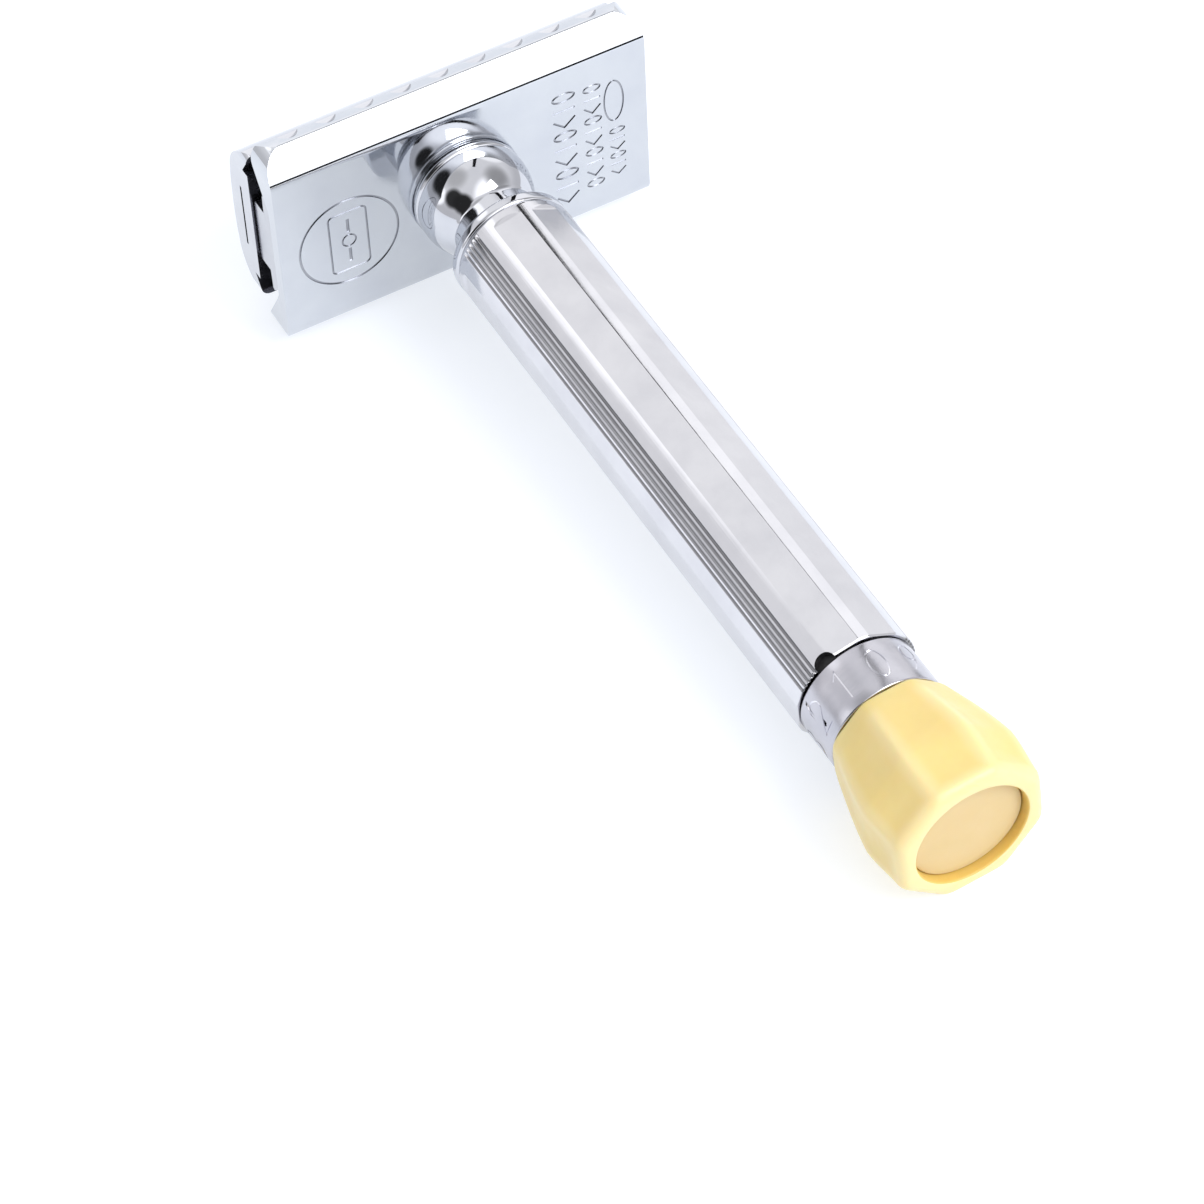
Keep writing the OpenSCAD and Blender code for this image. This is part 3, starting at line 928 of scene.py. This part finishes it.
def shade_knob(knob):
    """Deeper colour in the recess as painted shade, and a painted highlight attribute on the
    ridges and the rim.
    """
    knob.data.materials.append(RECESS_SHADE_CREAM)
    # The recess faces take the darker cream as painted shade
    for face in knob.data.polygons:
        middle = face.center / MM
        if math.hypot(middle.x, middle.z) < RECESS_RADIUS + 0.12 and middle.y < -94.5:
            face.material_index = 1
    ridge_highlight = knob.data.attributes.new("ridge_highlight", "FLOAT", "POINT")
    for i, vertex in enumerate(knob.data.vertices):
        x, y, z = (c / MM for c in vertex.co)
        angle = math.degrees(math.atan2(z, x))
        off = abs((angle - FACET_PHASE + 22.5) % 45 - 22.5)
        # Painted highlight: paler on the facet ridges and on the rim by the foot
        on_ridge = smooth_step(12.0, 21.5, off) * smooth_step(-82.5, -84.5, y)
        ridge_highlight.data[i].value = max(0.85 * on_ridge, smooth_step(-94.3, -95.6, y))


def build_plug():
    r = PLUG_RADIUS
    face = RECESS_FLOOR
    profile = [(0, face + 1.15), (r, face + 1.15), (r, face + 0.15)]
    profile += arc(r - 0.16, face + 0.16, 0.16, 0, -90, 4)
    profile += [(r - 0.6, face), (3.0, face + 0.02), (1.5, face + 0.02), (0, face + 0.02)]
    plug = lathe("knob_plug_body", profile, PALE_CREAM, 128, 40, closed=False)
    fit(plug, "knob", "plug_plastic", "knob_plug")


# ---- Carried-over CAD nodes ----

CARRIED = {
    "upper_bush": BRASS, "lower_bush": BRASS, "knob_insert": BRASS,
    "friction_spring": SPRING, "lifter_spring": SPRING, "retaining_clip": SPRING,
    "thrust_washer": NYLON,
    "spindle": STEEL, "dial_key": STEEL, "knob_screw": STEEL, "screw_washer": STEEL,
    "lifter_guide_pins": STEEL, "cap_stud": STEEL, "cap_locating_posts": STEEL,
}


def finish_carried():
    """Gives the hidden CAD nodes, which keep their shapes, their own metals and plastic."""
    for name, material in CARRIED.items():
        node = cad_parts[name]
        node.data.materials.clear()
        node.data.materials.append(material)


# ---- Studio ----

def build_floor():
    """Paper sloping under the razor, which rests on its guard bar and knob, level beyond."""
    slope = math.tan(math.radians(FLOOR_SLOPE))
    size, step = 1.6, 0.005
    y, z = -0.2, 0.0
    rows = [(-size, z), (y, z)]
    while y < 0.12:
        middle = y + step / 2
        part = smooth_step(-0.15, -0.11, middle) * smooth_step(0.06, 0.02, middle)
        y += step
        z -= slope * step * part
        rows.append((y, z))
    rows.append((size, z))
    guard_y, guard_z = 2.6 * MM, -12.92 * MM
    below = next(r for r in rows if r[0] >= guard_y)
    shift = guard_z - below[1] - slope * (below[0] - guard_y)
    verts = [(x, y, z + shift) for y, z in rows for x in (-size, size)]
    faces = [(2 * i, 2 * i + 1, 2 * i + 3, 2 * i + 2) for i in range(len(rows) - 1)]
    mesh = bpy.data.meshes.new("floor")
    mesh.from_pydata(verts, [], faces)
    mesh.polygons.foreach_set("use_smooth", [True] * len(faces))
    floor = bpy.data.objects.new("floor", mesh)
    bpy.context.scene.collection.objects.link(floor)
    g = Graph("paper")
    grain = g.noise(60, detail=3)
    tone = g.mix_colour(grain, "Fac", (0.46, 0.48, 0.52), (0.48, 0.50, 0.54))
    g.link(tone, "Result", g.shader, "Base Color")
    g.shader.inputs["Roughness"].default_value = 0.9
    g.shader.inputs["Specular IOR Level"].default_value = 0.1
    g.shader.inputs["Emission Color"].default_value = (0.95, 0.975, 1.0, 1)
    g.shader.inputs["Emission Strength"].default_value = 0.62
    mesh.materials.append(g.material)


def build_world():
    """A pale surround with bright, grey and black patches for the metal to mirror."""
    world = bpy.data.worlds.new("studio")
    bpy.context.scene.world = world
    world.use_nodes = True
    tree = world.node_tree
    tree.nodes.clear()
    coords = tree.nodes.new("ShaderNodeTexCoord")
    out = tree.nodes.new("ShaderNodeOutputWorld")
    background = tree.nodes.new("ShaderNodeBackground")
    tree.links.new(background.outputs["Background"], out.inputs["Surface"])

    def zone(direction, inner_deg, outer_deg):
        """One inside a cone around a direction, nought outside, soft between."""
        dot = tree.nodes.new("ShaderNodeVectorMath")
        dot.operation = "DOT_PRODUCT"
        dot.inputs[1].default_value = Vector(direction).normalized()
        tree.links.new(coords.outputs["Generated"], dot.inputs[0])
        remap = tree.nodes.new("ShaderNodeMapRange")
        remap.interpolation_type = "SMOOTHSTEP"
        remap.inputs["From Min"].default_value = math.cos(math.radians(outer_deg))
        remap.inputs["From Max"].default_value = math.cos(math.radians(inner_deg))
        tree.links.new(dot.outputs["Value"], remap.inputs["Value"])
        return remap.outputs["Result"]

    def blend(first, factor, colour):
        mix = tree.nodes.new("ShaderNodeMix")
        mix.data_type = "RGBA"
        tree.links.new(factor, mix.inputs["Factor"])
        if isinstance(first, tuple):
            mix.inputs["A"].default_value = first
        else:
            tree.links.new(first, mix.inputs["A"])
        mix.inputs["B"].default_value = colour
        return mix.outputs["Result"]

    def toward(azimuth, elevation):
        """Direction by degrees clockwise from +Y, seen from above, and degrees up."""
        a, e = math.radians(azimuth), math.radians(elevation)
        return (math.sin(a) * math.cos(e), math.cos(a) * math.cos(e), math.sin(e))

    colour = blend((0.72, 0.72, 0.75, 1), zone((0, 0, 1), 58, 82), (0.95, 0.95, 0.98, 1))
    zones = (
        (toward(158, 38), 22, 42, 1.9),   # white panel mirrored by the upper flank
        (toward(-4, 56), 12, 24, 1.12),   # overhead panel mirrored by the top flat
        (toward(50, 32), 15, 22, 1.35),   # right-hand panel
        (toward(53, 12), 8, 16, 1.12),
        (toward(-30, 39), 5, 11, 1.6),    # left-hand panels
        (toward(-72, 20), 10, 17, 1.6),
        (toward(17, 8), 12, 22, 1.3),     # low panel mirrored by the guard bar
        (toward(66, 3), 4, 10, 0.36),     # dark gap below the right-hand panel
        (toward(-62, 60), 5, 26, 0.62),   # grey patches, upper left and far right
        (toward(114, 47), 8, 30, 0.45),
        (toward(-103, 34), 12, 22, 0.04),  # the photographer, mirrored by the round neck
        (toward(-128, 32), 14, 24, 0.03),
    )
    for direction, inner, outer, level in zones:
        colour = blend(colour, zone(direction, inner, outer), (level, level, level * 1.02, 1))
    tree.links.new(colour, background.inputs["Color"])
    background.inputs["Strength"].default_value = 1.0


def add_lamp(name, location, target, size, power):
    data = bpy.data.lights.new(name, "AREA")
    data.shape = "RECTANGLE"
    data.size = size[0]
    data.size_y = size[1]
    data.energy = power
    lamp = bpy.data.objects.new(name, data)
    lamp.location = location
    lamp.rotation_mode = "QUATERNION"
    lamp.rotation_quaternion = (Vector(target) - Vector(location)).to_track_quat("-Z", "Y")
    bpy.context.scene.collection.objects.link(lamp)


def add_flag(name, direction, distance, size):
    """A black card that the metal mirrors; the camera and the floor don't see it."""
    mesh = bpy.data.meshes.new(name)
    w, h = size[0] / 2, size[1] / 2
    mesh.from_pydata([(-w, -h, 0), (w, -h, 0), (w, h, 0), (-w, h, 0)], [], [(0, 1, 2, 3)])
    card = bpy.data.objects.new(name, mesh)
    towards = Vector(direction).normalized()
    card.location = Vector((0, -0.01, 0)) + towards * distance
    card.rotation_mode = "QUATERNION"
    card.rotation_quaternion = towards.to_track_quat("Z", "Y")
    bpy.context.scene.collection.objects.link(card)
    g = Graph(name + "_cloth")
    g.shader.inputs["Base Color"].default_value = (0.01, 0.01, 0.011, 1)
    g.shader.inputs["Roughness"].default_value = 0.9
    g.shader.inputs["Specular IOR Level"].default_value = 0.0
    mesh.materials.append(g.material)
    card.visible_camera = False
    card.visible_shadow = False
    card.visible_diffuse = False


def build_camera():
    data = bpy.data.cameras.new("camera")
    data.lens = 137.38
    data.sensor_width = 36
    data.clip_start = 0.02
    data.clip_end = 20
    camera = bpy.data.objects.new("camera", data)
    # The picture's right and up and the way back to the camera, in the part's frame
    right = Vector((0.8734, -0.4856, -0.0367))
    up = Vector((0.3893, 0.6509, 0.6518))
    back = Vector((-0.2926, -0.5836, 0.7575))
    rotation = Matrix((right, up, back)).transposed().to_4x4()
    eye = Vector((-0.139986, -0.304494, 0.323474))
    camera.matrix_world = Matrix.Translation(eye) @ rotation
    bpy.context.scene.collection.objects.link(camera)
    bpy.context.scene.camera = camera


build_plate()
build_cap()
build_lifter()
build_neck()
build_collar()
build_tube()
build_dial()
build_knob()
build_plug()
finish_carried()
build_floor()
build_world()
add_lamp("key", (0.25, -0.45, 0.55), (0, -0.04, 0), (0.35, 0.35), 2.6)
add_flag("flag_horizon", (0.25, -0.96, 0.02), 1.1, (1.3, 0.45))
add_flag("flag_streak", (0.37, 0.58, 0.725), 1.0, (0.09, 1.0))
build_camera()
bpy.context.scene.view_settings.view_transform = "Standard"
